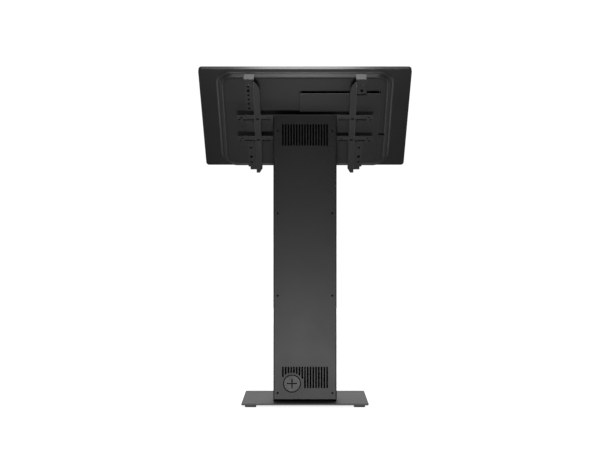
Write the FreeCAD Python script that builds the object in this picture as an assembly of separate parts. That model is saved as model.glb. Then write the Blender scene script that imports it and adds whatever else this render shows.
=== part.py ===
import FreeCAD, Part
import math
import os
from FreeCAD import Vector

# Touchscreen kiosk.  Millimetres.  +Z is up, the screen faces -Y and leans back, X is the width.
# Shapes are first made about the middle of the base plate; place_on_origin() then moves everything
# so that the origin is under the middle of the whole object, on the floor.

# ---- driving dimensions ------------------------------------------------------------------
BASE_WIDTH = 446.0
BASE_DEPTH = 288.0
BASE_THICKNESS = 6.0
BASE_CORNER = 4.0
FOOT_WIDTH = 39.0
FOOT_HEIGHT = 8.0
FOOT_INSET = (12.5, 10.0)

COLUMN_WIDTH = 224.4
COLUMN_FRONT = -13.0
COLUMN_REAR = 97.0
COLUMN_HEIGHT = 1027.1
COLUMN_CORNER = 3.5
COLUMN_WALL = 2.0
COVER_RETURN = 14.0
COVER_GAP = 8.0
FOOT_PLATE = 4.0
COVER_CORNER = 6.0
COVER_SCREW_SPACING = 193.6
COVER_SCREW_HEIGHTS = (43.4, 387.9, 679.4, 971.0)

VENT_COUNT = 17
VENT_PITCH = 9.78
VENT_WIDTH = 6.0
VENT_HEIGHT = 77.0
VENT_CENTRES = (957.3, 98.7)

PORT_X = 46.1
PORT_Z = 77.1
PORT_RADIUS = 32.0
CAP_RADIUS = 28.5
CAP_THICKNESS = 1.4
CROSS_DEPTH = 4.0
PORT_KEEP_OUT = 37.0

LEAN = 45.0
DISPLAY_WIDTH = 748.0
DISPLAY_HEIGHT = 447.0
DISPLAY_EDGE = 16.4
DISPLAY_CORNER = 12.0
FRAME_WALL = 3.2
BACK_WALL = 1.6
ACTIVE_WIDTH = 698.4
ACTIVE_HEIGHT = 392.9
GLASS_THICKNESS = 3.0
TAPE_THICKNESS = 1.0

HOUSING_WIDTH = 626.0
HOUSING_TOP = 4.2
HOUSING_BOTTOM = 442.0
HOUSING_CORNER = 54.0
HOUSING_FLAT = 21.0
HOUSING_CREST = 23.5

HEAD_STANDOFF = 73.8
HEAD_EDGE = 145.9
HEAD_THICKNESS = 5.0
RAIL_HALF_LENGTH = 242.0
RAIL_DEPTH = 12.0
RAIL_HEIGHT = 26.7
RAIL_WALL = 1.5
RAIL_LIP = 6.0
RAIL_BOLT_DROP = (RAIL_HEIGHT + RAIL_LIP) / 2
ARM_SLOT_DROP = RAIL_HEIGHT / 2 + 3.0
RAIL_TOPS = (145.4, 242.2)
RAIL_BOLT_X = 62.0
BOLT_ACCESS = 7.5

ARM_HOLE_X = 200.0
ARM_SHEET = 2.5
ARM_WEB = 177.5
ARM_STRIP_INNER = 157.0
ARM_BEND = 2.4
ARM_FLANGE_OUTER = 212.5
ARM_HOLES = (56.5, 74.0, 94.0, 113.7, 133.5, 153.5, 338.5, 381.5, 409.5)
ARM_HOLE_RADIUS = 4.3
ARM_SLOT_X = 168.0
ARM_SCREW_PLACES = (74.0, 381.5)

SERVICE_LEFT = -18.7
SERVICE_RIGHT = 268.0
SERVICE_TOP = 79.8
SERVICE_BOTTOM = 270.0
SERVICE_RISE = 14.0
SERVICE_WALL = 1.5
SERVICE_SCREW = SERVICE_RISE + 5.0
NOTCH_X = (172.0, 217.0)
NOTCH_BOTTOM = 89.0
COVER_PLATE = 1.5
SIDE_COVER_RIGHT = 282.4

RUNNING_GAP = 0.3
HALF_ROOT = math.sqrt(0.5)
X_AXIS = Vector(1, 0, 0)
Y_AXIS = Vector(0, 1, 0)
Z_AXIS = Vector(0, 0, 1)


# ---- small tools -------------------------------------------------------------------------
def box(x0, x1, y0, y1, z0, z1):
    """A box between two corners."""
    return Part.makeBox(x1 - x0, y1 - y0, z1 - z0, Vector(x0, y0, z0))


def rounded_box(x0, x1, y0, y1, z0, z1, radius, axis):
    """A box whose four edges along one axis are rounded."""
    solid = box(x0, x1, y0, y1, z0, z1)
    edges = [edge for edge in solid.Edges if abs(edge.tangentAt(edge.FirstParameter).dot(axis)) > 0.99]
    return solid.makeFillet(radius, edges)


def prism(points, direction):
    """A flat outline pushed along a direction."""
    return Part.Face(Part.makePolygon(points + [points[0]])).extrude(direction)


def cylinder(radius, length, start, direction):
    """A cylinder from its start point along a direction."""
    return Part.makeCylinder(radius, length, start, direction)


def fuse(shapes):
    """All the shapes as one solid, without the seams between them."""
    return shapes[0].multiFuse(shapes[1:]).removeSplitter()


def mirrored(shape):
    """The shape on the other side of the kiosk."""
    return shape.mirror(Vector(0, 0, 0), X_AXIS)


def soften(shape, radius, chosen):
    """Round the edges whose middle passes the test."""
    edges = []
    for edge in shape.Edges:
        middle = edge.valueAt((edge.FirstParameter + edge.LastParameter) / 2)
        if chosen(middle):
            edges.append(edge)
    return shape.makeFillet(radius, edges)


def screw(point, out, head_radius, head_height, shank_radius, shank_length, key=0.0):
    """A round-headed screw: the head stands out from the point, the shank goes in."""
    head = Part.makeCylinder(head_radius, head_height)
    head = soften(head, head_height * 0.4, lambda p: p.z > head_height - 0.01)
    shank = Part.makeCylinder(shank_radius, shank_length, Vector(0, 0, -shank_length))
    solid = head.fuse(shank).removeSplitter()
    if key:
        corners = [Vector(key * math.cos(a), key * math.sin(a), head_height * 0.4)
                   for a in [math.radians(60 * step) for step in range(6)]]
        solid = solid.cut(prism(corners, Vector(0, 0, head_height)))
    solid.Placement = FreeCAD.Placement(point, FreeCAD.Rotation(Z_AXIS, out))
    return solid


def flush_screw(point, out, head_radius, head_height, shank_radius, shank_length):
    """A countersunk screw whose head ends level with the point."""
    cone = Part.makeCone(shank_radius, head_radius, head_height, Vector(0, 0, -head_height))
    shank = Part.makeCylinder(shank_radius, shank_length, Vector(0, 0, -shank_length))
    solid = cone.fuse(shank).removeSplitter()
    cross = box(-head_radius * 0.55, head_radius * 0.55, -0.4, 0.4, -head_height * 0.6, 1.0)
    solid = solid.cut(cross)
    cross.rotate(Vector(0, 0, 0), Z_AXIS, 90)
    solid = solid.cut(cross)
    solid.Placement = FreeCAD.Placement(point, FreeCAD.Rotation(Z_AXIS, out))
    return solid


def up(drop):
    """Height in the upright display of a point that lies this far below its top edge."""
    return DISPLAY_HEIGHT / 2 - drop


def leaned(shape):
    """Take a display piece from its upright drawing to its place on the column head."""
    centre_drop = DISPLAY_HEIGHT / 2 - HEAD_EDGE
    back = COLUMN_REAR - HALF_ROOT * (HEAD_STANDOFF + centre_drop)
    height = COLUMN_HEIGHT + HALF_ROOT * (HEAD_STANDOFF - centre_drop)
    turned = shape.copy()
    turned.rotate(Vector(0, 0, 0), X_AXIS, -LEAN)
    turned.translate(Vector(0, back, height))
    return turned


def above_head(depth):
    """Everything in front of a plane that lies this far behind the display's back."""
    return leaned(box(-600, 600, -600, depth, -900, 900))


# ---- base --------------------------------------------------------------------------------
def foot_places():
    """The centres of the four pads."""
    x = BASE_WIDTH / 2 - FOOT_INSET[0] - FOOT_WIDTH / 2
    y = BASE_DEPTH / 2 - FOOT_INSET[1] - FOOT_WIDTH / 2
    return [Vector(sx * x, sy * y, 0) for sx in (-1, 1) for sy in (-1, 1)]


def column_bolt_places():
    """The centres of the bolts that hold the column to the base plate."""
    return [Vector(sx * 82.0, y, 0) for sx in (-1, 1) for y in (12.0, 68.0)]


def base_plate():
    plate = rounded_box(-BASE_WIDTH / 2, BASE_WIDTH / 2, -BASE_DEPTH / 2, BASE_DEPTH / 2,
                        FOOT_HEIGHT, FOOT_HEIGHT + BASE_THICKNESS, BASE_CORNER, Z_AXIS)
    plate = soften(plate, 0.8, lambda p: p.z > FOOT_HEIGHT + BASE_THICKNESS - 0.01)
    for place in foot_places():
        plate = plate.cut(cylinder(2.5, 4.0, place + Vector(0, 0, FOOT_HEIGHT), Z_AXIS))
    for place in column_bolt_places():
        plate = plate.cut(cylinder(4.0, 30.0, place, Z_AXIS))
        plate = plate.cut(Part.makeCone(8.0, 4.0, 4.0, place + Vector(0, 0, FOOT_HEIGHT), Z_AXIS))
    return plate


def base_feet():
    """Four square rubber pads, each with a recess for its screw."""
    feet = []
    half = FOOT_WIDTH / 2
    for place in foot_places():
        pad = rounded_box(place.x - half, place.x + half, place.y - half, place.y + half, 0, FOOT_HEIGHT,
                          3.0, Z_AXIS)
        pad = soften(pad, 0.6, lambda p: p.z < 0.01)
        pad = pad.cut(cylinder(6.0, 4.5, place, Z_AXIS))
        pad = pad.cut(cylinder(2.5, FOOT_HEIGHT, place, Z_AXIS))
        feet.append(pad)
    return Part.makeCompound(feet)


def foot_screws():
    screws = []
    for place in foot_places():
        screws.append(screw(place + Vector(0, 0, 4.5), -Z_AXIS, 4.5, 2.6, 2.5, 7.4, 1.6))
    return Part.makeCompound(screws)


def column_bolts():
    bolts = []
    for place in column_bolt_places():
        bolts.append(flush_screw(place + Vector(0, 0, FOOT_HEIGHT), -Z_AXIS, 8.0, 4.0, 4.0, 12.0))
    return Part.makeCompound(bolts)


# ---- column ------------------------------------------------------------------------------
HALF = COLUMN_WIDTH / 2
INNER = HALF - COLUMN_WALL
PLATE_TOP = FOOT_HEIGHT + BASE_THICKNESS
COVER_BOTTOM = PLATE_TOP + COVER_GAP
COVER_START = COLUMN_REAR - COVER_RETURN
INSIDE_CORNER = COLUMN_CORNER - COLUMN_WALL + 0.2


def column_foot_plate():
    """Welded in the bottom of the column; the base bolts screw into it."""
    plate = rounded_box(-INNER, INNER, COLUMN_FRONT + COLUMN_WALL, COVER_START,
                        PLATE_TOP, PLATE_TOP + FOOT_PLATE, INSIDE_CORNER, Z_AXIS)
    for place in column_bolt_places():
        plate = plate.cut(cylinder(4.0, 40.0, place, Z_AXIS))
    return plate


def column_shell():
    """Front and both sides, bent from one sheet, with the slanted top."""
    top = COLUMN_HEIGHT + 80
    outer = rounded_box(-HALF, HALF, COLUMN_FRONT, COLUMN_REAR, PLATE_TOP, top, COLUMN_CORNER, Z_AXIS)
    inner = rounded_box(-INNER, INNER, COLUMN_FRONT + COLUMN_WALL, COLUMN_REAR + 60, PLATE_TOP - 1, top + 1,
                        COLUMN_CORNER - COLUMN_WALL, Z_AXIS)
    shell = outer.cut(inner)
    shell = shell.cut(box(-HALF - 1, HALF + 1, COVER_START - RUNNING_GAP, COLUMN_REAR + 1, 0, top + 1))
    return shell.cut(above_head(HEAD_STANDOFF))


def cover_slot(x, low, high):
    """The cutter of one upright vent slot."""
    return rounded_box(x - VENT_WIDTH / 2, x + VENT_WIDTH / 2, COLUMN_REAR - 6, COLUMN_REAR + 2,
                       low, high, VENT_WIDTH * 0.49, Y_AXIS)


def vent_slots():
    """Both vent groups; the lower slots stop short of the round port."""
    slots = []
    for centre in VENT_CENTRES:
        for index in range(VENT_COUNT):
            x = (index - (VENT_COUNT - 1) / 2) * VENT_PITCH
            low = centre - VENT_HEIGHT / 2
            high = centre + VENT_HEIGHT / 2
            across = abs(x - PORT_X) - VENT_WIDTH / 2
            if centre < COLUMN_HEIGHT / 2 and across < PORT_KEEP_OUT:
                reach = math.sqrt(PORT_KEEP_OUT ** 2 - max(across, 0.0) ** 2)
                if PORT_Z - reach - low > 8.0:
                    slots.append(cover_slot(x, low, PORT_Z - reach))
                low = max(low, PORT_Z + reach)
            if high - low > 8.0:
                slots.append(cover_slot(x, low, high))
    return slots


def cover_screw_places():
    """Where the cover's screws pass its rear face."""
    return [Vector(side * COVER_SCREW_SPACING / 2, COLUMN_REAR, height)
            for side in (-1, 1) for height in COVER_SCREW_HEIGHTS]


def column_rear_cover():
    """A shallow tray with short side returns, vent slots and the cable port."""
    top = COLUMN_HEIGHT + 20
    outer = rounded_box(-HALF, HALF, COLUMN_REAR - 60, COLUMN_REAR, COVER_BOTTOM, top, COLUMN_CORNER, Z_AXIS)
    outer = outer.common(rounded_box(-HALF, HALF, COLUMN_REAR - 60, COLUMN_REAR, COVER_BOTTOM, top + 40,
                                     COVER_CORNER, Y_AXIS))
    inner = rounded_box(-INNER, INNER, COLUMN_REAR - 70, COLUMN_REAR - COLUMN_WALL, COVER_BOTTOM - 1, top + 1,
                        COLUMN_CORNER - COLUMN_WALL, Z_AXIS)
    cover = outer.cut(inner)
    cover = cover.cut(box(-HALF - 1, HALF + 1, COLUMN_REAR - 70, COVER_START, 0, top + 1))
    cutters = vent_slots()
    cutters.append(cylinder(PORT_RADIUS, 10.0, Vector(PORT_X, COLUMN_REAR - 6, PORT_Z), Y_AXIS))
    for place in cover_screw_places():
        cutters.append(cylinder(2.0, 10.0, place - Vector(0, 6, 0), Y_AXIS))
    cover = cover.cut(Part.makeCompound(cutters))
    return cover.cut(above_head(HEAD_STANDOFF))


def cover_mounting_angles():
    """Two upright angles inside the column sides that take the cover's screws."""
    rear = COLUMN_REAR - COLUMN_WALL
    angles = []
    for side in (-1, 1):
        leg = box(INNER - 2.0, INNER, COVER_START - 24.0, rear, PLATE_TOP + 8, COLUMN_HEIGHT)
        face = box(INNER - 24.0, INNER - 4.0, rear - 2.0, rear, PLATE_TOP + 8, COLUMN_HEIGHT)
        bend = box(INNER - 4.0, INNER - 2.0, rear - 2.0, rear, PLATE_TOP + 8, COLUMN_HEIGHT)
        angle = fuse([leg, bend, face])
        angle = soften(angle, 3.5, lambda p: abs(p.x - INNER) < 0.01 and abs(p.y - rear) < 0.01)
        if side < 0:
            angle = mirrored(angle)
        for height in COVER_SCREW_HEIGHTS:
            start = Vector(side * COVER_SCREW_SPACING / 2, rear - 10, height)
            angle = angle.cut(cylinder(2.0, 20.0, start, Y_AXIS))
        angles.append(angle.cut(above_head(HEAD_STANDOFF + HEAD_THICKNESS)))
    return Part.makeCompound(angles)


def cover_screws():
    return Part.makeCompound([screw(place, Y_AXIS, 3.7, 1.9, 2.0, 8.0, 1.5)
                              for place in cover_screw_places()])


def head_plate():
    """The slanted plate in the top of the column that carries both rails."""
    plate = leaned(box(-INNER, INNER, HEAD_STANDOFF, HEAD_STANDOFF + HEAD_THICKNESS, -300, 300))
    plate = plate.common(rounded_box(-INNER, INNER, COLUMN_FRONT + COLUMN_WALL, COLUMN_REAR - COLUMN_WALL,
                                     0, 2000, INSIDE_CORNER, Z_AXIS))
    cutters = [cylinder(30.0, 60.0, Vector(0, HEAD_STANDOFF - 20, up(207.0)), Y_AXIS)]
    cutters += [cylinder(4.0, 60.0, place - Vector(0, 40, 0), Y_AXIS) for place in rail_bolt_places()]
    for cutter in cutters:
        plate = plate.cut(leaned(cutter))
    return plate


def cable_grommet():
    """Rubber edge of the cable hole in the head plate."""
    centre = Vector(0, HEAD_STANDOFF - 2.5, up(207.0))
    ring = cylinder(34.0, 2.5, centre, Y_AXIS)
    ring = ring.fuse(cylinder(30.0, HEAD_THICKNESS + 2.5, centre, Y_AXIS)).removeSplitter()
    ring = ring.cut(cylinder(25.0, 30.0, centre - Vector(0, 10, 0), Y_AXIS))
    return leaned(ring)


def cable_port_ring():
    """Inside the cover: the collar that the port's cap locks behind."""
    rear = COLUMN_REAR - COLUMN_WALL
    ring = cylinder(36.5, 2.5, Vector(PORT_X, rear - 2.5, PORT_Z), Y_AXIS)
    ring = ring.cut(cylinder(26.8, 12.0, Vector(PORT_X, rear - 8, PORT_Z), Y_AXIS))
    notch = box(-4.5, 4.5, rear - 8, rear + 2, -30.2, 30.2)
    notch.translate(Vector(PORT_X, 0, PORT_Z))
    return ring.cut(notch)


def port_cap():
    """A quarter-turn cap with a cross slot and two lugs behind the collar."""
    rear = COLUMN_REAR - COLUMN_WALL
    disc = cylinder(CAP_RADIUS, CAP_THICKNESS, Vector(0, rear + RUNNING_GAP, 0), Y_AXIS)
    disc = soften(disc, 0.6, lambda p: p.y > rear + CAP_THICKNESS)
    neck = cylinder(26.0, 7.0, Vector(0, rear + RUNNING_GAP - 7.0, 0), Y_AXIS)
    lugs = box(-29.4, 29.4, rear - 6.7, rear - 2.5 - RUNNING_GAP, -4.0, 4.0)
    cap = fuse([disc, neck, lugs])
    cap = cap.cut(cylinder(23.5, 5.2, Vector(0, rear - 6.8, 0), Y_AXIS))
    face = rear + RUNNING_GAP + CAP_THICKNESS
    cap = cap.cut(rounded_box(-18.2, 18.2, face - CROSS_DEPTH, face + 1, -2.0, 2.0, 1.9, Y_AXIS))
    cap = cap.cut(rounded_box(-2.0, 2.0, face - CROSS_DEPTH, face + 1, -18.2, 18.2, 1.9, Y_AXIS))
    cap.translate(Vector(PORT_X, 0, PORT_Z))
    return cap


def vent_filters():
    """Two felt pads close behind the vent slots; the lower one is cut round the port."""
    rear = COLUMN_REAR - COLUMN_WALL
    half = (VENT_COUNT - 1) / 2 * VENT_PITCH + 5.5
    reach = VENT_HEIGHT / 2 + 5
    pads = []
    for centre in VENT_CENTRES:
        pad = box(-half, half, rear - 6.0, rear - 3.0, centre - reach, centre + reach)
        pads.append(pad.cut(cylinder(37.5, 20.0, Vector(PORT_X, rear - 10, PORT_Z), Y_AXIS)))
    return Part.makeCompound(pads)


# ---- inside the column -------------------------------------------------------------------
COMPUTER_LOW = 190.0
COMPUTER_HIGH = 390.0
STRIP_LOW = 470.0
STRIP_HIGH = 800.0
ROCKER_TILT = 8.0


def computer_bracket():
    """A folded shelf on the inside of the column's front."""
    wall = COLUMN_FRONT + COLUMN_WALL
    back = box(-70, 70, wall, wall + 2, COMPUTER_LOW - 20, COMPUTER_HIGH + 20)
    shelf = box(-70, 70, wall, wall + 52, COMPUTER_LOW - 2, COMPUTER_LOW)
    lip = box(-70, 70, wall + 50, wall + 52, COMPUTER_LOW - 2, COMPUTER_LOW + 10)
    return fuse([back, shelf, lip])


def computer():
    """The small computer that runs the exhibit."""
    wall = COLUMN_FRONT + COLUMN_WALL + 2
    case = rounded_box(-66, 66, wall, wall + 47, COMPUTER_LOW, COMPUTER_HIGH, 6.0, Y_AXIS)
    fins = [box(-60 + 8 * index, -56 + 8 * index, wall + 43, wall + 48, COMPUTER_LOW + 20, COMPUTER_HIGH - 20)
            for index in range(15)]
    return case.cut(Part.makeCompound(fins))


def power_strip():
    """Mains sockets on the inside of the column's front, with a rocker switch at the top."""
    wall = COLUMN_FRONT + COLUMN_WALL
    case = rounded_box(-24, 24, wall, wall + 40, STRIP_LOW, STRIP_HIGH, 5.0, Z_AXIS)
    for index in range(4):
        centre = Vector(0, wall + 26, STRIP_LOW + 45 + 62 * index)
        case = case.cut(cylinder(19.0, 20.0, centre, Y_AXIS))
    case = case.cut(box(-8.4, 8.4, wall + 26, wall + 41, STRIP_HIGH - 42, STRIP_HIGH - 14))
    return case


def strip_switch():
    """The rocker of the power strip, on a round belly, pressed in at its upper end."""
    wall = COLUMN_FRONT + COLUMN_WALL
    middle = STRIP_HIGH - 28
    outline = [Vector(-7.8, wall + 33, middle - 11), Vector(-7.8, wall + 33, middle + 11),
               Vector(-7.8, wall + 41, middle + 12), Vector(-7.8, wall + 39.5, middle),
               Vector(-7.8, wall + 41, middle - 12)]
    belly = cylinder(4.0, 15.6, Vector(-7.8, wall + 36, middle), X_AXIS)
    rocker = prism(outline, Vector(15.6, 0, 0)).fuse(belly).removeSplitter()
    rocker.rotate(Vector(0, wall + 36, middle), X_AXIS, ROCKER_TILT)
    return rocker


# ---- rails and arms ----------------------------------------------------------------------
def rail_bolt_places():
    """Bolt centres on the rails' rear face, in the upright display drawing."""
    return [Vector(side * RAIL_BOLT_X, HEAD_STANDOFF, up(top + RAIL_BOLT_DROP))
            for side in (-1, 1) for top in RAIL_TOPS]


def arm_slot(x, height):
    """The cutter of the obround slot that lies in both an arm's strip and the rail behind it."""
    return rounded_box(x - 6.2, x + 6.2, HEAD_STANDOFF - 6, HEAD_STANDOFF + 5, height - 3.8, height + 3.8,
                       3.7, Y_AXIS)


def rail(top):
    """A flat rectangular tube, slotted at the rear, with an upstanding lip that the arms hook over."""
    low = up(top + RAIL_HEIGHT)
    high = up(top)
    shoulder = up(top + RAIL_LIP)
    front = HEAD_STANDOFF - RAIL_DEPTH
    tube = box(-RAIL_HALF_LENGTH, RAIL_HALF_LENGTH, front, HEAD_STANDOFF, low, shoulder)
    tube = soften(tube, 1.8, lambda p: abs(p.x) < 1 and (p.y < front + 0.01 or p.z < low + 0.01))
    lip = box(-RAIL_HALF_LENGTH, RAIL_HALF_LENGTH, HEAD_STANDOFF - RAIL_WALL, HEAD_STANDOFF,
              shoulder - 4.0, high)
    solid = fuse([tube, lip])
    solid = solid.cut(box(-RAIL_HALF_LENGTH - 1, RAIL_HALF_LENGTH + 1, front + RAIL_WALL,
                          HEAD_STANDOFF - RAIL_WALL, low + RAIL_WALL, shoulder - RAIL_WALL))
    bolt_height = up(top + RAIL_BOLT_DROP)
    cutters = []
    for side in (-1, 1):
        for start, end in ((118.0, 220.0), (228.5, 237.5)):
            slot = rounded_box(start, end, HEAD_STANDOFF - 6, HEAD_STANDOFF + 2,
                               low + 1.8, low + 8.6, 3.3, Y_AXIS)
            cutters.append(slot if side > 0 else mirrored(slot))
        for place in (131.0, 226.0):
            cutters.append(cylinder(4.0, 8.0, Vector(side * place, HEAD_STANDOFF - 6, low + 15.0), Y_AXIS))
        cutters.append(arm_slot(side * ARM_SLOT_X, up(top + ARM_SLOT_DROP)))
        cutters.append(cylinder(4.0, 8.0, Vector(side * RAIL_BOLT_X, HEAD_STANDOFF - 6, bolt_height), Y_AXIS))
        cutters.append(cylinder(BOLT_ACCESS, 8.0, Vector(side * RAIL_BOLT_X, front - 2, bolt_height), Y_AXIS))
    return leaned(solid.cut(Part.makeCompound(cutters)))


def upper_rail():
    return rail(RAIL_TOPS[0])


def lower_rail():
    return rail(RAIL_TOPS[1])


def rail_bolts():
    bolts = []
    for place in rail_bolt_places():
        seat = place - Vector(0, RAIL_WALL, 0)
        bolts.append(leaned(screw(seat, -Y_AXIS, 6.5, 5.0, 4.0, RAIL_WALL + HEAD_THICKNESS, 2.9)))
    return Part.makeCompound(bolts)


ARM_BACK = HOUSING_CREST
ARM_REAR = HEAD_STANDOFF + 0.4
ARM_TIP = 417.5
ARM_END = 446.7
LIP_DEPTH = 53.0
LOCK_RADIUS = 2.5


def lock_places():
    """Under each rail, where a screw through the web keeps the arm from lifting off."""
    return [Vector(ARM_WEB, HEAD_STANDOFF - RAIL_DEPTH / 2, up(top + RAIL_HEIGHT + 5.0)) for top in RAIL_TOPS]


def arm_web():
    """The upright web: notched at the top, tapered at the bottom."""
    outer = ARM_REAR + ARM_SHEET
    outline = [(4.4, ARM_BACK), (ARM_END, ARM_BACK), (ARM_END, ARM_BACK + 6), (ARM_TIP, outer),
               (20.0, outer), (20.0, LIP_DEPTH), (4.4, LIP_DEPTH)]
    points = [Vector(ARM_WEB, depth, up(drop)) for drop, depth in outline]
    return prism(points, Vector(ARM_SHEET, 0, 0))


def rail_windows():
    """The cutters of the web's two windows: round each rail's tube, and up in front of its lip."""
    near = ARM_WEB - 1
    far = ARM_WEB + ARM_SHEET + 1
    tube_front = HEAD_STANDOFF - RAIL_DEPTH - RUNNING_GAP
    lip_front = HEAD_STANDOFF - RAIL_WALL - RUNNING_GAP
    windows = []
    for top in RAIL_TOPS:
        windows.append(box(near, far, tube_front, ARM_REAR,
                           up(top + RAIL_HEIGHT + 0.4), up(top + RAIL_LIP - RUNNING_GAP)))
        windows.append(box(near, far, lip_front, ARM_REAR, up(top + RAIL_LIP), up(top - RUNNING_GAP)))
    return windows


def arm_strip():
    """The rearmost strip: rounded off at the top, tapered at its lower tip."""
    corner = 21.0
    points = [Vector(ARM_WEB, ARM_REAR, up(2.6)), Vector(ARM_WEB, ARM_REAR, up(ARM_TIP)),
              Vector(ARM_WEB - 9.5, ARM_REAR, up(ARM_TIP)),
              Vector(ARM_STRIP_INNER, ARM_REAR, up(ARM_TIP - 22)),
              Vector(ARM_STRIP_INNER, ARM_REAR, up(41.0))]
    bend = Vector(ARM_STRIP_INNER + 0.22 * corner, ARM_REAR, up(19.0))
    end = Vector(ARM_WEB - 5.0, ARM_REAR, up(2.6))
    edges = [Part.LineSegment(points[index], points[index + 1]).toShape() for index in range(4)]
    edges.append(Part.Arc(points[4], bend, end).toShape())
    edges.append(Part.LineSegment(end, points[0]).toShape())
    strip = Part.Face(Part.Wire(edges)).extrude(Vector(0, ARM_SHEET, 0))
    for top in RAIL_TOPS:
        strip = strip.cut(arm_slot(ARM_SLOT_X, up(top + ARM_SLOT_DROP)))
    return strip


def arm(relieved):
    """A display arm on the +X side; the relieved one steps over the service cover."""
    edge = ARM_WEB + ARM_SHEET
    flange = box(edge, ARM_FLANGE_OUTER, ARM_BACK, ARM_BACK + ARM_SHEET, up(ARM_END), up(4.4))
    flange = flange.cut(box(205.5, 220, 0, 60, up(ARM_END + 1), up(432.0)))
    lip = box(edge, ARM_FLANGE_OUTER, ARM_BACK, LIP_DEPTH, up(6.9), up(4.4))
    solid = fuse([flange, lip, arm_web(), arm_strip()])
    rear = ARM_REAR + ARM_SHEET
    solid = soften(solid, ARM_BEND, lambda p: p.y > rear - 0.01 and p.x > edge - 0.01)
    cutters = rail_windows()
    cutters += [cylinder(ARM_HOLE_RADIUS, 20.0, Vector(ARM_HOLE_X, ARM_BACK - 5, up(drop)), Y_AXIS)
                for drop in ARM_HOLES]
    cutters += [cylinder(LOCK_RADIUS, 20.0, place - Vector(5, 0, 0), X_AXIS) for place in lock_places()]
    if relieved:
        cutters.append(box(ARM_WEB - 1, ARM_FLANGE_OUTER + 5, ARM_BACK - 5, HOUSING_FLAT + SERVICE_RISE + 0.8,
                           up(SERVICE_BOTTOM + 2), up(NOTCH_BOTTOM - 1)))
    return solid.cut(Part.makeCompound(cutters))


def arm_right():
    return leaned(arm(False))


def arm_left():
    return leaned(mirrored(arm(True)))


def arm_screw_places():
    """Where the arms are screwed to the display."""
    return [Vector(side * ARM_HOLE_X, ARM_BACK, up(drop)) for side in (-1, 1) for drop in ARM_SCREW_PLACES]


def arm_pads():
    """Rubber strips under the arms' flanges, level with the rim of the rear housing."""
    pads = []
    for side in (-1, 1):
        for top, bottom in ((46.0, 78.0 if side < 0 else 165.0), (328.0, 415.0)):
            pad = rounded_box(182.0, 211.5, HOUSING_FLAT, ARM_BACK, up(bottom), up(top), 3.0, Y_AXIS)
            for drop in ARM_HOLES:
                pad = pad.cut(cylinder(ARM_HOLE_RADIUS, 40.0, Vector(ARM_HOLE_X, 0, up(drop)), Y_AXIS))
            pads.append(leaned(pad if side > 0 else mirrored(pad)))
    return Part.makeCompound(pads)


def arm_screws():
    return Part.makeCompound([leaned(screw(place + Vector(0, ARM_SHEET, 0), Y_AXIS, 5.2, 3.2, 3.0, 20.0, 2.3))
                              for place in arm_screw_places()])


def arm_lock_screws():
    """Cap screws through the arms' webs, close under the rails."""
    screws = []
    for place in lock_places():
        bolt = screw(place, -X_AXIS, 4.2, 4.0, LOCK_RADIUS, ARM_SHEET + 6.0, 2.0)
        screws += [leaned(bolt), leaned(mirrored(bolt))]
    return Part.makeCompound(screws)


# ---- display -----------------------------------------------------------------------------
CAVITY_X = DISPLAY_WIDTH / 2 - FRAME_WALL
CAVITY_Z = DISPLAY_HEIGHT / 2 - FRAME_WALL
GLASS_BACK = -DISPLAY_EDGE + GLASS_THICKNESS
PANEL_FRONT = GLASS_BACK + TAPE_THICKNESS
CHASSIS_FRONT = -BACK_WALL - 1.6
BUTTON_X = 300.0
BUTTON_DEPTH = -7.6
BUTTON_RADIUS = 4.2


def display_frame():
    """The tray round the panel: thin sides, a back wall and a large opening behind the housing."""
    frame = rounded_box(-DISPLAY_WIDTH / 2, DISPLAY_WIDTH / 2, -DISPLAY_EDGE, 0,
                        -DISPLAY_HEIGHT / 2, DISPLAY_HEIGHT / 2, DISPLAY_CORNER, Y_AXIS)
    frame = soften(frame, 1.0, lambda p: p.y > -0.01 or p.y < 0.01 - DISPLAY_EDGE)
    frame = frame.cut(rounded_box(-CAVITY_X, CAVITY_X, -DISPLAY_EDGE - 1, -BACK_WALL, -CAVITY_Z, CAVITY_Z,
                                  DISPLAY_CORNER - FRAME_WALL, Y_AXIS))
    frame = frame.cut(rounded_box(-278, 278, -5, 5, up(408.0), up(38.0), 30.0, Y_AXIS))
    hole = cylinder(BUTTON_RADIUS + 0.25, 8.0, Vector(BUTTON_X, BUTTON_DEPTH, up(DISPLAY_HEIGHT + 2)), Z_AXIS)
    return leaned(frame.cut(hole))


def touch_glass():
    glass = rounded_box(-CAVITY_X + 0.4, CAVITY_X - 0.4, -DISPLAY_EDGE + 0.1, GLASS_BACK,
                        -CAVITY_Z + 0.4, CAVITY_Z - 0.4, DISPLAY_CORNER - FRAME_WALL, Y_AXIS)
    return leaned(soften(glass, 0.5, lambda p: p.y < 0.2 - DISPLAY_EDGE))


def glass_tape():
    """Foam tape between the glass and the panel."""
    ring = box(-CAVITY_X + 4, CAVITY_X - 4, GLASS_BACK, PANEL_FRONT, -CAVITY_Z + 4, CAVITY_Z - 4)
    window = box(-ACTIVE_WIDTH / 2 - 3, ACTIVE_WIDTH / 2 + 3, GLASS_BACK - 1, PANEL_FRONT + 1,
                 -ACTIVE_HEIGHT / 2 - 3, ACTIVE_HEIGHT / 2 + 3)
    return leaned(ring.cut(window))


def lcd_panel():
    panel = rounded_box(-CAVITY_X + 6, CAVITY_X - 6, PANEL_FRONT, CHASSIS_FRONT,
                        -CAVITY_Z + 9, CAVITY_Z - 5, 3.0, Y_AXIS)
    return leaned(panel)


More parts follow.
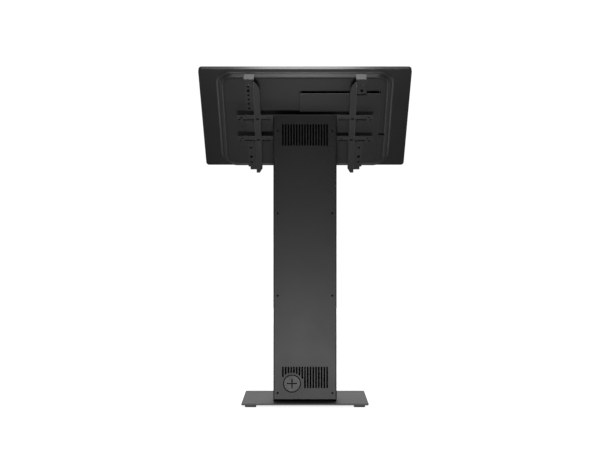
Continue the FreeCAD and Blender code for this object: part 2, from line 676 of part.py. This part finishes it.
def chassis_plate():
    """Steel sheet behind the panel that carries the boards and the arms' posts."""
    plate = rounded_box(-CAVITY_X + 2, CAVITY_X - 2, CHASSIS_FRONT, -BACK_WALL,
                        -CAVITY_Z + 9, CAVITY_Z - 2, 8.0, Y_AXIS)
    for x in (-120.0, 0.0, 120.0):
        plate = plate.cut(rounded_box(x - 18, x + 18, -10, 5, up(235.0), up(215.0), 6.0, Y_AXIS))
    return leaned(plate)


def power_button():
    """A round button in the lower edge of the frame."""
    top = up(DISPLAY_HEIGHT) + FRAME_WALL + 1.6
    body = cylinder(BUTTON_RADIUS, FRAME_WALL + 3.0, Vector(BUTTON_X, BUTTON_DEPTH, top), -Z_AXIS)
    body = soften(body, 0.6, lambda p: p.z < top - FRAME_WALL - 2.9)
    flange = cylinder(BUTTON_RADIUS + 0.8, 1.0, Vector(BUTTON_X, BUTTON_DEPTH, top - 1.4), Z_AXIS)
    return leaned(body.fuse(flange).removeSplitter())


def button_switch():
    """The small switch that the power button pushes."""
    low = up(DISPLAY_HEIGHT) + FRAME_WALL + 3.1
    body = box(BUTTON_X - 6, BUTTON_X + 6, BUTTON_DEPTH - 3, -BACK_WALL, low + 0.6, low + 4.2)
    plunger = cylinder(1.6, 1.0, Vector(BUTTON_X, BUTTON_DEPTH, low), Z_AXIS)
    return leaned(body.fuse(plunger).removeSplitter())


def housing_section(depth, side, top, bottom):
    """A rounded outline of the rear housing: how far in it lies at the sides, top and bottom."""
    right = HOUSING_WIDTH / 2 - side
    high = up(HOUSING_TOP + top)
    low = up(HOUSING_BOTTOM - bottom)
    radius = HOUSING_CORNER - (side + top) / 2
    diagonal = radius * (1 - HALF_ROOT)
    corners = [((right, high - radius), (right - diagonal, high - diagonal), (right - radius, high)),
               ((radius - right, high), (diagonal - right, high - diagonal), (-right, high - radius)),
               ((-right, low + radius), (diagonal - right, low + diagonal), (radius - right, low)),
               ((right - radius, low), (right - diagonal, low + diagonal), (right, low + radius))]
    edges = []
    for index, corner in enumerate(corners):
        start, middle, end = [Vector(x, depth, z) for x, z in corner]
        following = corners[(index + 1) % 4][0]
        edges.append(Part.Arc(start, middle, end).toShape())
        edges.append(Part.LineSegment(end, Vector(following[0], depth, following[1])).toShape())
    return Part.Wire(edges)


def housing_skin():
    """The formed rear housing without its openings: two steps up to a rim, then the flat back."""
    outer = [housing_section(*place) for place in (
        (0.0, 0.0, 0.0, 0.0), (6.4, 6.0, 5.0, 5.0), (7.0, 8.0, 6.0, 6.0), (6.2, 11.0, 7.0, 7.0),
        (8.0, 14.5, 8.2, 8.2), (21.6, 21.0, 12.4, 12.4), (HOUSING_CREST, 23.5, 14.6, 14.6),
        (HOUSING_CREST - 0.7, 26.0, 17.5, 17.5), (HOUSING_FLAT, 30.0, 23.0, 23.0))]
    inner = [housing_section(*place) for place in (
        (-1.0, 2.4, 2.2, 2.2), (4.6, 8.6, 7.0, 7.0), (5.6, 16.5, 10.2, 10.2), (19.2, 24.5, 15.4, 15.4))]
    solid = Part.makeLoft(outer, True, True)
    return solid.cut(Part.makeLoft(inner, True, True))


def housing_screw_places():
    """Flush screws round the flat back."""
    high = up(40.0)
    low = up(400.0)
    middle = up(229.0)
    spots = [(x, z) for x in (-262.0, -88.0, 88.0, 262.0) for z in (low, high)]
    spots += [(262.0, middle)]
    return [Vector(x, HOUSING_FLAT, z) for x, z in spots]


def service_screw_places():
    """Flush screws in the corners of the service cover."""
    return [Vector(-x, HOUSING_FLAT + SERVICE_RISE, up(drop))
            for x in (SERVICE_LEFT + 9, (SERVICE_LEFT + SERVICE_RIGHT) / 2, SERVICE_RIGHT - 9)
            for drop in (SERVICE_TOP + 19, SERVICE_BOTTOM - 9)]


def side_screw_places():
    """Flush screws in the ends of the narrow side cover."""
    return [Vector(-275.6, HOUSING_FLAT + COVER_PLATE, up(drop)) for drop in (290.0, 384.0)]


def flush_hole(place):
    """The cutter of a flush screw's hole."""
    hole = Part.makeCone(1.5, 2.9, 1.4, Vector(0, 0, -1.4))
    hole = hole.fuse(cylinder(1.5, SERVICE_SCREW, Vector(0, 0, -SERVICE_SCREW), Z_AXIS)).removeSplitter()
    hole.Placement = FreeCAD.Placement(place, FreeCAD.Rotation(Z_AXIS, Y_AXIS))
    return hole


def rear_housing():
    """The formed housing: air slots under the service cover's upper edge, openings and screw holes."""
    skin = housing_skin()
    deep = HOUSING_FLAT - 6
    far = HOUSING_CREST + 4
    cutters = [
        box(-SERVICE_RIGHT + 6, -NOTCH_X[1] - 2, deep, far, up(SERVICE_TOP + 14), up(SERVICE_TOP)),
        box(-NOTCH_X[0] + 2, -SERVICE_LEFT - 6, deep, far, up(SERVICE_TOP + 14), up(SERVICE_TOP)),
        rounded_box(-SERVICE_RIGHT + 22, -SERVICE_LEFT - 22, deep, far, up(SERVICE_BOTTOM - 20),
                    up(SERVICE_TOP + 26), 6.0, Y_AXIS),
        rounded_box(-291, -SERVICE_RIGHT, deep, far, up(281.0), up(273.5), 1.2, Y_AXIS),
        rounded_box(-BAY_X, BAY_X, deep, far, up(BAY_BOTTOM), up(BAY_TOP), 4.0, Y_AXIS)]
    cutters += [flush_hole(place) for place in housing_screw_places()]
    for place in service_screw_places() + side_screw_places():
        cutters.append(cylinder(1.5, SERVICE_SCREW + 1, place - Vector(0, SERVICE_SCREW, 0), Y_AXIS))
    for drop in ARM_HOLES:
        for side in (-1, 1):
            if side > 0 or not SERVICE_TOP < drop < SERVICE_BOTTOM:
                start = Vector(side * ARM_HOLE_X, HOUSING_FLAT - 8, up(drop))
                cutters.append(cylinder(ARM_HOLE_RADIUS, 16.0, start, Y_AXIS))
    return leaned(skin.cut(Part.makeCompound(cutters)))


def service_cover():
    """The formed cover over the electronics, open along its upper edge and notched for the arm."""
    rear = HOUSING_FLAT + SERVICE_RISE
    wall = SERVICE_WALL
    cover = rounded_box(-SERVICE_RIGHT, -SERVICE_LEFT, HOUSING_FLAT, rear,
                        up(SERVICE_BOTTOM), up(SERVICE_TOP), 4.0, Y_AXIS)
    cover = soften(cover, 1.2, lambda p: p.y > rear - 0.01)
    near, far = NOTCH_X
    notch = box(-far, -near, HOUSING_FLAT - 1, rear + 1, up(NOTCH_BOTTOM), up(SERVICE_TOP - 1))
    core = rounded_box(-SERVICE_RIGHT + wall, -SERVICE_LEFT - wall, HOUSING_FLAT - 1, rear - wall,
                       up(SERVICE_BOTTOM - wall), up(SERVICE_TOP + wall), 4.0 - wall, Y_AXIS)
    core = core.cut(box(-far - wall, -near + wall, HOUSING_FLAT - 2, rear,
                        up(NOTCH_BOTTOM + wall), up(SERVICE_TOP)))
    cover = cover.cut(core).cut(notch)
    for left, right in ((-SERVICE_RIGHT + 6, -far - wall), (-near + wall, -SERVICE_LEFT - 6)):
        cover = cover.cut(box(left, right, HOUSING_FLAT - 1, rear - wall,
                              up(SERVICE_TOP + 3), up(SERVICE_TOP - 1)))
    bosses = [cylinder(4.5, SERVICE_RISE - 0.5, place - Vector(0, SERVICE_RISE, 0), Y_AXIS)
              for place in service_screw_places()]
    cover = fuse([cover] + bosses)
    return leaned(cover.cut(Part.makeCompound([flush_hole(place) for place in service_screw_places()])))


def side_cover():
    """The narrow plate beside the service cover's lower corner."""
    plate = box(-SIDE_COVER_RIGHT, -SERVICE_RIGHT - 0.6, HOUSING_FLAT, HOUSING_FLAT + COVER_PLATE,
                up(412.0), up(281.0))
    plate = plate.common(rounded_box(-SIDE_COVER_RIGHT, SIDE_COVER_RIGHT, 0, 60, up(418.4), up(28.0),
                                     27.0, Y_AXIS))
    return leaned(plate.cut(Part.makeCompound([flush_hole(place) for place in side_screw_places()])))


def housing_screws():
    """Short screws in the housing and the side cover, longer ones through the service cover's bosses."""
    short = [(place, 5.0) for place in housing_screw_places() + side_screw_places()]
    long = [(place, SERVICE_SCREW) for place in service_screw_places()]
    return Part.makeCompound([leaned(flush_screw(place, Y_AXIS, 2.9, 1.4, 1.5, length))
                              for place, length in short + long])


def arm_posts():
    """Threaded posts between the chassis and the housing that take the arm screws."""
    posts = []
    for place in arm_screw_places():
        start = Vector(place.x, -BACK_WALL, place.z)
        post = cylinder(7.0, 19.2 + BACK_WALL, start, Y_AXIS)
        posts.append(leaned(post.cut(cylinder(3.0, 30.0, start + Vector(0, 2.0, 0), Y_AXIS))))
    return Part.makeCompound(posts)


BAY_X = 84.0
BAY_TOP = 306.0
BAY_BOTTOM = 366.0
BAY_FLOOR = 3.5


def connector_bay():
    """A recessed tray in the housing; its upper wall carries the sockets, which face down."""
    wall = 1.4
    outer = rounded_box(-BAY_X + 0.2, BAY_X - 0.2, BAY_FLOOR, HOUSING_FLAT, up(BAY_BOTTOM - 0.2),
                        up(BAY_TOP + 0.2), 3.8, Y_AXIS)
    inner = rounded_box(-BAY_X + wall, BAY_X - wall, BAY_FLOOR + wall, HOUSING_FLAT + 1,
                        up(BAY_BOTTOM - wall), up(BAY_TOP + wall), 2.6, Y_AXIS)
    return leaned(outer.cut(inner))


def socket(x, width, depth, hollow):
    """One socket on the bay's upper wall: a shell, open downwards."""
    top = up(BAY_TOP + 1.4)
    middle = (BAY_FLOOR + 1.4 + HOUSING_FLAT) / 2
    shell = box(x - width / 2, x + width / 2, middle - depth / 2, middle + depth / 2, top - 9.0, top)
    mouth = box(x - width / 2 + 1, x + width / 2 - 1, middle - depth / 2 + 1, middle + depth / 2 - 1,
                top - 10.0, top - 9.0 + hollow)
    return shell.cut(mouth)


def bay_sockets():
    """Picture, network, two serial-bus sockets and the low-voltage power inlet."""
    sockets = [socket(-52.0, 16.0, 7.0, 6.0), socket(-22.0, 16.0, 13.0, 7.0),
               socket(4.0, 14.0, 7.5, 6.0), socket(26.0, 14.0, 7.5, 6.0)]
    inlet = box(48.0, 60.0, 7.0, 18.0, up(BAY_TOP + 10.4), up(BAY_TOP + 1.4))
    bore = cylinder(3.4, 8.0, Vector(54.0, 12.5, up(BAY_TOP + 11.0)), Z_AXIS)
    inlet = inlet.cut(bore)
    pin = cylinder(1.1, 8.0, Vector(54.0, 12.5, up(BAY_TOP + 10.0)), Z_AXIS)
    sockets.append(inlet.fuse(pin).removeSplitter())
    return leaned(Part.makeCompound(sockets))


def board(x0, x1, top, bottom, parts):
    """A circuit board with its taller components, on four short posts."""
    posts_x = (x0 + 6, x1 - 6)
    posts_v = (top + 6, bottom - 6)
    pieces = [box(x0, x1, 4.0, 5.6, up(bottom), up(top))]
    for x in posts_x:
        for drop in posts_v:
            pieces.append(cylinder(3.0, 4.0 + BACK_WALL, Vector(x, -BACK_WALL, up(drop)), Y_AXIS))
    for px0, px1, ptop, pbottom, height in parts:
        pieces.append(box(px0, px1, 5.6, 5.6 + height, up(pbottom), up(ptop)))
    return leaned(fuse(pieces))


def main_board():
    chips = [(-150.0, -110.0, 140.0, 180.0, 9.0), (-95.0, -70.0, 130.0, 150.0, 3.0),
             (-95.0, -70.0, 165.0, 185.0, 3.0), (-230.0, -190.0, 120.0, 128.0, 7.0),
             (-60.0, -20.0, 215.0, 223.0, 8.0)]
    return board(-240.0, -10.0, 108.0, 252.0, chips)


def power_board():
    chips = [(60.0, 90.0, 120.0, 150.0, 12.0), (100.0, 118.0, 120.0, 138.0, 12.0),
             (60.0, 76.0, 200.0, 230.0, 10.0), (120.0, 150.0, 190.0, 240.0, 8.0)]
    return board(45.0, 170.0, 108.0, 262.0, chips)


def speakers():
    """Two flat speakers in the lower corners of the housing."""
    pair = []
    for side in (-1, 1):
        case = rounded_box(-55, 55, 0.6, 16.0, up(404.0), up(380.0), 4.0, Y_AXIS)
        for x in (-26.0, 26.0):
            case = case.cut(cylinder(9.5, 3.0, Vector(x, 14.6, up(392.0)), Y_AXIS))
        case.translate(Vector(side * 110.0, 0, 0))
        pair.append(leaned(case))
    return Part.makeCompound(pair)


# ---- all the nodes -----------------------------------------------------------------------
NODES = [
    base_plate, base_feet, foot_screws, column_bolts, column_foot_plate, column_shell, column_rear_cover,
    cover_mounting_angles, cover_screws, head_plate, cable_grommet, cable_port_ring, port_cap, vent_filters,
    computer_bracket, computer, power_strip, strip_switch, upper_rail, lower_rail, rail_bolts,
    arm_right, arm_left, arm_pads, arm_screws, arm_lock_screws, display_frame, touch_glass, glass_tape,
    lcd_panel, chassis_plate, power_button, button_switch, rear_housing, service_cover, side_cover,
    housing_screws, arm_posts, connector_bay, bay_sockets, main_board, power_board, speakers]


def place_on_origin(shapes):
    """Move everything so that the middle of the whole object's box is at Y = 0."""
    middle = Part.makeCompound(list(shapes.values())).optimalBoundingBox(False).Center.y
    for shape in shapes.values():
        shape.translate(Vector(0, -middle, 0))
    print("moved along Y by", -middle)


def main():
    os.makedirs("parts", exist_ok=True)
    shapes = {make.__name__: make() for make in NODES}
    place_on_origin(shapes)
    for name, shape in shapes.items():
        shape.exportStep("parts/" + name + ".step")
        print(name, "solids", len(shape.Solids), "valid", shape.isValid(), "volume", round(shape.Volume))


main()
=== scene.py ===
import math

import bpy
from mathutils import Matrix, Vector


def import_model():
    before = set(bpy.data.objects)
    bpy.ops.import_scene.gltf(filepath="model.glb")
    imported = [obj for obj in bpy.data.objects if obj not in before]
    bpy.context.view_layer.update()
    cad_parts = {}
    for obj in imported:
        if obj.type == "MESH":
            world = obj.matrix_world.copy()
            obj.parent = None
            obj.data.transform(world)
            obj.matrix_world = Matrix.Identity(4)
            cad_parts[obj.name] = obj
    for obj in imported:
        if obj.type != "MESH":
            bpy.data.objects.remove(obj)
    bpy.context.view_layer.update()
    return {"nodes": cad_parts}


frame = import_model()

SCENE = bpy.context.scene
NODES = frame["nodes"]

# lengths in metres
WORN_WIDTH = 0.0009
GRAIN_HEIGHT = 0.0002
DRAWN_HEIGHT = 0.0001
DUST_HEIGHT = 0.00005
WELD_GAP = 0.00001
FLOOR_HALF_WIDTH = 60.0
CAMERA_PLACE = (0.0, 3.7364, 0.6383)
CAMERA_LENS = 60.87


# ---- material tools -----------------------------------------------------------------------
class Recipe:
    """A material's node tree, built one node at a time."""

    def __init__(self, name):
        self.material = bpy.data.materials.new(name)
        self.material.use_nodes = True
        self.tree = self.material.node_tree
        self.shader = self.tree.nodes["Principled BSDF"]
        self.place = self.add("ShaderNodeTexCoord").outputs["Object"]

    def add(self, kind, **inputs):
        """A node with some of its inputs set, by value or by link."""
        node = self.tree.nodes.new(kind)
        for key, value in inputs.items():
            socket = node.inputs[key.replace("_", " ")]
            self.feed(socket, value)
        return node

    def feed(self, socket, value):
        """Link a socket to another, or set its value."""
        if isinstance(value, bpy.types.NodeSocket):
            self.tree.links.new(value, socket)
        else:
            socket.default_value = value

    def noise(self, scale, detail=3.0, roughness=0.6, where=None):
        """Noise from 0 to 1 over the object's own coordinates."""
        node = self.add("ShaderNodeTexNoise", Vector=where or self.place, Scale=scale,
                        Detail=detail, Roughness=roughness)
        return node.outputs["Fac"]

    def spread(self, value, low, high, start=0.3, end=0.7):
        """Map a 0 to 1 value onto a range."""
        node = self.add("ShaderNodeMapRange", Value=value)
        node.inputs["From Min"].default_value = start
        node.inputs["From Max"].default_value = end
        node.inputs["To Min"].default_value = low
        node.inputs["To Max"].default_value = high
        return node.outputs["Result"]

    def mix(self, factor, first, second):
        """A colour mix."""
        node = self.tree.nodes.new("ShaderNodeMix")
        node.data_type = "RGBA"
        self.feed(node.inputs["Factor"], factor)
        self.feed(node.inputs["A"], first)
        self.feed(node.inputs["B"], second)
        return node.outputs["Result"]

    def bump(self, height, strength, distance):
        """Surface relief from a height."""
        node = self.add("ShaderNodeBump", Height=height, Strength=strength, Distance=distance)
        self.surface("Normal", node.outputs["Normal"])

    def surface(self, name, value):
        """Set or link one input of the shader."""
        self.feed(self.shader.inputs[name], value)

    def combine(self, operation, first, second):
        """Two values put together by a maths operation."""
        node = self.tree.nodes.new("ShaderNodeMath")
        node.operation = operation
        self.feed(node.inputs[0], first)
        self.feed(node.inputs[1], second)
        return node.outputs[0]

    def worn_edge(self, radius):
        """1 on convex edges, 0 on flats: how far a rounded normal leans from the true one."""
        bevel = self.tree.nodes.new("ShaderNodeBevel")
        bevel.samples = 4
        bevel.inputs["Radius"].default_value = radius
        true = self.add("ShaderNodeNewGeometry").outputs["Normal"]
        dot = self.tree.nodes.new("ShaderNodeVectorMath")
        dot.operation = "DOT_PRODUCT"
        self.feed(dot.inputs[0], bevel.outputs["Normal"])
        self.feed(dot.inputs[1], true)
        return self.spread(dot.outputs["Value"], 1.0, 0.0, 0.86, 0.995)


def grey(level, warm=0.0):
    """A neutral colour with its alpha."""
    return (level * (1 + warm), level, level * (1 - warm), 1.0)


def powder_coat(name, level, roughness, grain, relief, specular=0.5, wear=0.25):
    """Fine-textured powder coat: orange peel, tiny grain, soft smudges, slightly polished edges."""
    recipe = Recipe(name)
    smudge = recipe.noise(7.0, 4.0)
    patch = recipe.noise(55.0, 3.0)
    fine = recipe.noise(grain, 2.0, 0.5)
    peel = recipe.noise(grain * 0.28, 2.0, 0.5)
    base = recipe.mix(recipe.spread(smudge, 0.0, 1.0), grey(level * 0.94), grey(level * 1.06))
    speck = recipe.mix(recipe.spread(fine, 0.0, 0.35, 0.55, 0.8), base, grey(level * 1.7))
    edge = recipe.combine("MULTIPLY", recipe.worn_edge(WORN_WIDTH),
                          recipe.spread(patch, 0.0, wear, 0.35, 0.7))
    recipe.surface("Base Color", recipe.mix(edge, speck, grey(level * 2.6)))
    recipe.surface("Roughness", recipe.spread(smudge, roughness - 0.012, roughness + 0.018, 0.3, 0.72))
    recipe.surface("Specular IOR Level", specular)
    recipe.bump(recipe.combine("ADD", fine, peel), relief, GRAIN_HEIGHT)
    return recipe.material


def metal(name, level, roughness, stretch, relief=0.15, tint=0.0):
    """Bare or plated metal with a drawn grain along one direction."""
    recipe = Recipe(name)
    mapping = recipe.add("ShaderNodeMapping", Vector=recipe.place, Scale=stretch)
    lines = recipe.noise(1.0, 3.0, 0.6, mapping.outputs["Vector"])
    cloud = recipe.noise(40.0, 3.0)
    recipe.surface("Base Color", recipe.mix(recipe.spread(cloud, 0.0, 1.0),
                                            grey(level * 0.8, tint), grey(level * 1.1, tint)))
    recipe.surface("Metallic", 1.0)
    recipe.surface("Roughness", recipe.spread(lines, roughness - 0.08, roughness + 0.1))
    recipe.bump(lines, relief, DRAWN_HEIGHT)
    return recipe.material


def moulded(name, colour, roughness, grain, relief, specular=0.5):
    """Moulded rubber or plastic with a fine spark-eroded grain and faint flow marks."""
    recipe = Recipe(name)
    flow = recipe.noise(14.0, 3.0)
    fine = recipe.noise(grain, 2.0, 0.5)
    darker = tuple(part * 0.8 for part in colour[:3]) + (1.0,)
    recipe.surface("Base Color", recipe.mix(recipe.spread(flow, 0.0, 1.0), darker, colour))
    recipe.surface("Roughness", recipe.spread(flow, roughness - 0.05, roughness + 0.06))
    recipe.surface("Specular IOR Level", specular)
    recipe.bump(fine, relief, GRAIN_HEIGHT)
    return recipe.material


def screen_glass(name):
    """Black-backed cover glass with a few faint finger smears."""
    recipe = Recipe(name)
    smear = recipe.noise(5.0, 5.0, 0.65)
    dust = recipe.noise(900.0, 1.0)
    recipe.surface("Base Color", recipe.mix(recipe.spread(smear, 0.0, 1.0),
                                            (0.004, 0.004, 0.005, 1), (0.008, 0.008, 0.009, 1)))
    recipe.surface("Roughness", recipe.spread(smear, 0.04, 0.13, 0.4, 0.75))
    recipe.surface("Coat Weight", 0.4)
    recipe.surface("Coat Roughness", 0.03)
    recipe.bump(dust, 0.02, DUST_HEIGHT)
    return recipe.material


def circuit(name):
    """Solder mask with fine copper runs under it."""
    recipe = Recipe(name)
    mapping = recipe.add("ShaderNodeMapping", Vector=recipe.place, Scale=(220.0, 220.0, 220.0))
    cells = recipe.add("ShaderNodeTexVoronoi", Vector=mapping.outputs["Vector"], Scale=1.0)
    cells.distance = "MANHATTAN"
    runs = recipe.spread(cells.outputs["Distance"], 0.0, 1.0, 0.35, 0.5)
    recipe.surface("Base Color", recipe.mix(runs, (0.01, 0.06, 0.03, 1), (0.03, 0.13, 0.06, 1)))
    recipe.surface("Roughness", recipe.spread(runs, 0.3, 0.45, 0.0, 1.0))
    recipe.bump(cells.outputs["Distance"], 0.1, DRAWN_HEIGHT)
    return recipe.material


# ---- materials on the CAD nodes -----------------------------------------------------------
COLUMN = powder_coat("column powder coat",
                     level=0.004, roughness=0.45, grain=1500.0, relief=0.22, specular=0.2)
BASE = powder_coat("base powder coat",
                   level=0.055, roughness=0.5, grain=1500.0, relief=0.25, specular=0.22)
HOUSING = powder_coat("housing paint",
                      level=0.028, roughness=0.45, grain=1900.0, relief=0.18, specular=0.5)
FRAME_PAINT = powder_coat("frame paint", level=0.028, roughness=0.31, grain=2400.0, relief=0.06)
RAIL = powder_coat("rail coat", level=0.034, roughness=0.5, grain=1700.0, relief=0.16, specular=0.4)
PAINTED_SCREW = powder_coat("painted screw",
                            level=0.026, roughness=0.42, grain=1300.0, relief=0.1, specular=0.45)
ARM = powder_coat("arm coat", level=0.034, roughness=0.46, grain=1700.0, relief=0.16, specular=0.45)
BLACK_SCREW = metal("black oxide", 0.012, 0.48, (900.0, 900.0, 900.0))
COVER_SCREW = metal("column screw oxide", 0.006, 0.6, (900.0, 900.0, 900.0))
ZINC = metal("zinc plate", 0.55, 0.32, (700.0, 700.0, 90.0), tint=0.02)
INNER_STEEL = metal("galvanised sheet", 0.45, 0.42, (60.0, 60.0, 60.0))
# Black rubber for the grommet, port ring, glass tape and arm pads, set extra dark: partly painted
# shade, so the arm pads seen through the flange holes read as the shade inside the holes.
BLACK_RUBBER_AND_HOLE_SHADE = moulded("rubber", (0.006, 0.006, 0.006, 1),
                 roughness=0.8, grain=1300.0, relief=0.3, specular=0.2)
FOOT_RUBBER = moulded("grey foot rubber", (0.034, 0.034, 0.034, 1),
                      roughness=0.7, grain=1300.0, relief=0.3, specular=0.3)
CAP = moulded("cap plastic", (0.0055, 0.0055, 0.00553, 1),
              roughness=0.42, grain=1600.0, relief=0.2, specular=0.27)
BLACK_PLASTIC = moulded("black plastic", (0.02, 0.02, 0.02, 1),
                        roughness=0.5, grain=1500.0, relief=0.2)
BUTTON = moulded("button plastic", (0.06, 0.06, 0.062, 1), roughness=0.3, grain=1800.0, relief=0.1)
ROCKER = moulded("rocker plastic", (0.35, 0.02, 0.015, 1), roughness=0.3, grain=1500.0, relief=0.1)
# Near-black felt behind the column's vent slots: painted shade, a dark sheet that makes the slots read
# as the shaded inside of the column.
VENT_SHADE_FELT = moulded("vent shade felt", (0.0015, 0.0015, 0.0015, 1),
               roughness=0.98, grain=500.0, relief=0.9, specular=0.0)
GLASS = screen_glass("cover glass")
BOARD = circuit("circuit board")
PANEL = metal("panel aluminium", 0.6, 0.35, (900.0, 30.0, 30.0))
COMPUTER = metal("anodised case", 0.1, 0.4, (60.0, 60.0, 900.0))

# The vent filters' felt and the arm pads' rubber carry painted shade.
FINISHES = {
    "base_plate": BASE, "base_feet": FOOT_RUBBER, "foot_screws": ZINC, "column_bolts": ZINC,
    "column_foot_plate": COLUMN, "column_shell": COLUMN, "column_rear_cover": COLUMN,
    "cover_mounting_angles": INNER_STEEL, "cover_screws": COVER_SCREW, "head_plate": COLUMN,
    "cable_grommet": BLACK_RUBBER_AND_HOLE_SHADE, "cable_port_ring": BLACK_RUBBER_AND_HOLE_SHADE, "port_cap": CAP, "vent_filters": VENT_SHADE_FELT,
    "computer_bracket": INNER_STEEL, "computer": COMPUTER, "power_strip": BLACK_PLASTIC,
    "strip_switch": ROCKER, "upper_rail": RAIL, "lower_rail": RAIL, "rail_bolts": BLACK_SCREW,
    "arm_right": ARM, "arm_left": ARM, "arm_pads": BLACK_RUBBER_AND_HOLE_SHADE, "arm_screws": BLACK_SCREW,
    "arm_lock_screws": BLACK_SCREW, "display_frame": FRAME_PAINT, "touch_glass": GLASS,
    "glass_tape": BLACK_RUBBER_AND_HOLE_SHADE, "lcd_panel": PANEL, "chassis_plate": INNER_STEEL, "power_button": BUTTON,
    "button_switch": BLACK_PLASTIC, "rear_housing": HOUSING, "service_cover": HOUSING,
    "side_cover": HOUSING, "housing_screws": PAINTED_SCREW, "arm_posts": ZINC,
    "connector_bay": HOUSING, "bay_sockets": BLACK_PLASTIC, "main_board": BOARD,
    "power_board": BOARD, "speakers": BLACK_PLASTIC}

EDGE_RADII = {
    "column_shell": 0.0003, "column_rear_cover": 0.0003, "upper_rail": 0.0004,
    "lower_rail": 0.0004, "arm_right": 0.0005, "arm_left": 0.0005}


def finish_node(name, material):
    """Give a CAD node its material and, on sheet parts, slightly rounded edges."""
    node = NODES[name]
    node.data.materials.clear()
    node.data.materials.append(material)
    radius = EDGE_RADII.get(name, 0.0)
    if radius:
        weld = node.modifiers.new("weld", "WELD")
        weld.merge_threshold = WELD_GAP
        bevel = node.modifiers.new("edges", "BEVEL")
        bevel.width = radius
        bevel.segments = 2
        bevel.limit_method = "ANGLE"
        bevel.angle_limit = math.radians(40)
        bevel.harden_normals = True


for node_name, finish in FINISHES.items():
    finish_node(node_name, finish)


# ---- stage, light and camera --------------------------------------------------------------
def floor():
    """A wide pale floor."""
    mesh = bpy.data.meshes.new("floor")
    half = FLOOR_HALF_WIDTH
    mesh.from_pydata([(-half, -half, 0), (half, -half, 0), (half, half, 0), (-half, half, 0)], [],
                     [(0, 1, 2, 3)])
    plane = bpy.data.objects.new("floor", mesh)
    SCENE.collection.objects.link(plane)
    recipe = Recipe("floor paint")
    shade = recipe.noise(1.3, 3.0)
    recipe.surface("Base Color", recipe.mix(shade, grey(0.86), grey(0.9)))
    recipe.surface("Roughness", 0.9)
    recipe.surface("Specular IOR Level", 0.1)
    recipe.surface("Emission Color", grey(1.0))
    recipe.surface("Emission Strength", 0.9)
    plane.data.materials.append(recipe.material)
    plane.visible_diffuse = False
    plane.visible_glossy = False
    plane.visible_shadow = False


def add_light(name, data, direction, place=(0, 0, 0)):
    """Put a light in the scene, shining along a direction."""
    light = bpy.data.objects.new(name, data)
    light.location = place
    light.rotation_euler = Vector(direction).to_track_quat("-Z", "Y").to_euler()
    SCENE.collection.objects.link(light)
    return light


def area_light(name, place, target, size, power):
    """A soft rectangular light that points at a target and isn't seen itself."""
    data = bpy.data.lights.new(name, "AREA")
    data.shape = "RECTANGLE"
    data.size, data.size_y = size
    data.energy = power
    light = add_light(name, data, Vector(target) - Vector(place), place)
    light.visible_camera = False


def sun(name, strength, angle, direction):
    """A distant soft light."""
    data = bpy.data.lights.new(name, "SUN")
    data.energy = strength
    data.angle = math.radians(angle)
    add_light(name, data, direction)


def spot(name, place, target, cone, power, radius):
    """A soft-edged spot that isn't seen itself."""
    data = bpy.data.lights.new(name, "SPOT")
    data.energy = power
    data.spot_size = math.radians(cone)
    data.spot_blend = 1.0
    data.shadow_soft_size = radius
    light = add_light(name, data, Vector(target) - Vector(place), place)
    light.visible_camera = False


def world(seen, felt):
    """A white surround for the camera, dimmer for everything else."""
    surround = bpy.data.worlds.new("studio")
    surround.use_nodes = True
    tree = surround.node_tree
    background = tree.nodes["Background"]
    background.inputs["Color"].default_value = (1, 1, 1, 1)
    path = tree.nodes.new("ShaderNodeLightPath")
    strength = tree.nodes.new("ShaderNodeMapRange")
    strength.inputs["To Min"].default_value = felt
    strength.inputs["To Max"].default_value = seen
    tree.links.new(path.outputs["Is Camera Ray"], strength.inputs["Value"])
    tree.links.new(strength.outputs["Result"], background.inputs["Strength"])
    SCENE.world = surround


def camera():
    """Level, behind the kiosk, looking at its back."""
    data = bpy.data.cameras.new("camera")
    data.lens = CAMERA_LENS
    data.sensor_width = 36.0
    data.clip_end = 200.0
    eye = bpy.data.objects.new("camera", data)
    eye.location = CAMERA_PLACE
    eye.rotation_euler = (math.radians(90), 0, math.radians(180))
    SCENE.collection.objects.link(eye)
    SCENE.camera = eye


floor()
world(seen=1.05, felt=0.06)
area_light("floor bounce", (0, 2.3, -0.01), (0, 2.3, 1.0), size=(3.4, 3.8), power=14.0)
spot("display glow", (0, 2.9, -0.12), (0, 0.08, 1.24), cone=19.0, power=330.0, radius=0.3)
spot("column glow", (0, 3.0, -0.3), (0, 0.087, 0.27), cone=31.0, power=300.0, radius=0.24)
sun("overhead", strength=1.0, angle=20, direction=(0, 0.7, -1))
area_light("top strip", (0, 0.03, 1.95), (0, 0.03, 1.1), size=(0.46, 0.4), power=3.9)
area_light("rim", (0, 0.6, 2.1), (0, 0.17, 1.19), size=(0.3, 0.25), power=3.6)
area_light("front wall", (0, -4.0, 1.2), (0, 0.0, 0.6), size=(5.0, 2.4), power=45.0)
for word, side in (("left", 1), ("right", -1)):
    area_light(word + " ridge", (side * 1.66, -0.48, 0.28), (side * 0.3, 0.0, 1.0),
               size=(0.35, 0.5), power=1.9)
for word, side in (("left", 1), ("right", -1)):
    area_light(word + " side", (side * 3.4, -0.9, 0.75), (side * 0.1, -0.05, 0.6),
               size=(2.0, 1.6), power=17.0)
camera()
SCENE.view_settings.view_transform = "Standard"
